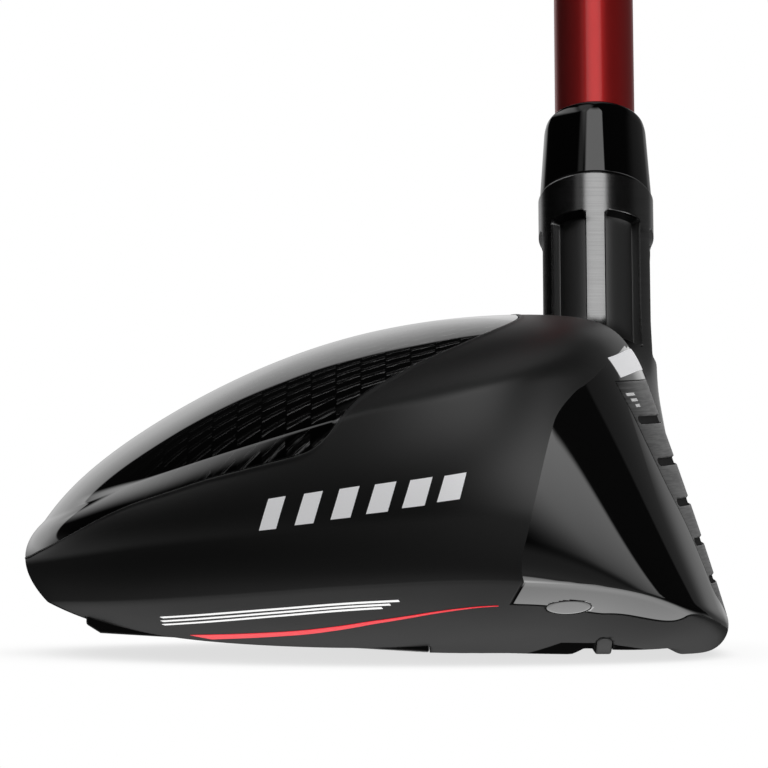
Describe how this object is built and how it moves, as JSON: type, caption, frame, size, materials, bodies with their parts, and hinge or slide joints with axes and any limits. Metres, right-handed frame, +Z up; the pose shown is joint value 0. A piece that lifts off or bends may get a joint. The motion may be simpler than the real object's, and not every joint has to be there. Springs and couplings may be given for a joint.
{
  "type": "golf club",
  "caption": "Right-handed hybrid golf club: hollow head with composite crown and fluted hosel, ferrule, tapered shaft and rubber grip.",
  "frame": {"origin": "a point on the flat of the sole where the head rests on the ground, just behind the sole channel", "axes": "+Z up, the face looks along -Y, the toe points along -X and the shaft leans towards +X at the lie angle"},
  "size_m": [0.6145, 0.0792, 0.8763],
  "materials": {
    "head_steel": "satin black with gloss black toe front",
    "face_steel": "dark brushed",
    "carbon_gloss": "gloss clear coat over woven carbon tows",
    "adhesive": "cured adhesive",
    "black_plastic": "satin",
    "keel_black": "matt black",
    "weight_metal": "sintered tungsten alloy",
    "silver_paint": "satin silver",
    "white_paint": "satin white",
    "red_paint": "gloss red",
    "ferrule_gloss": "polished",
    "shaft_red": "gloss red paint over carbon composite",
    "brass_weight": "turned",
    "tape": "adhesive tape",
    "grip_rubber": "textured matt rubber"
  },
  "bodies": {
    "root": {"head_body": "head_steel", "face_plate": "face_steel", "crown_panel": "carbon_gloss", "crown_adhesive": "adhesive", "toe_plug": "black_plastic", "slot_insert": "black_plastic", "keel_plate": "keel_black", "rear_weight": "weight_metal", "hot_melt": "adhesive", "topline_strip": "silver_paint", "side_graphic": "silver_paint", "sole_graphic": "white_paint", "sole_stripe": "red_paint", "face_marks": "white_paint", "ferrule": "ferrule_gloss", "shaft": "shaft_red", "tip_epoxy": "adhesive", "tip_weight": "brass_weight", "shaft_bands": "silver_paint", "grip_tape": "tape", "grip": "grip_rubber", "grip_cap": "grip_rubber", "grip_marks": "red_paint"}
  },
  "joints": []
}
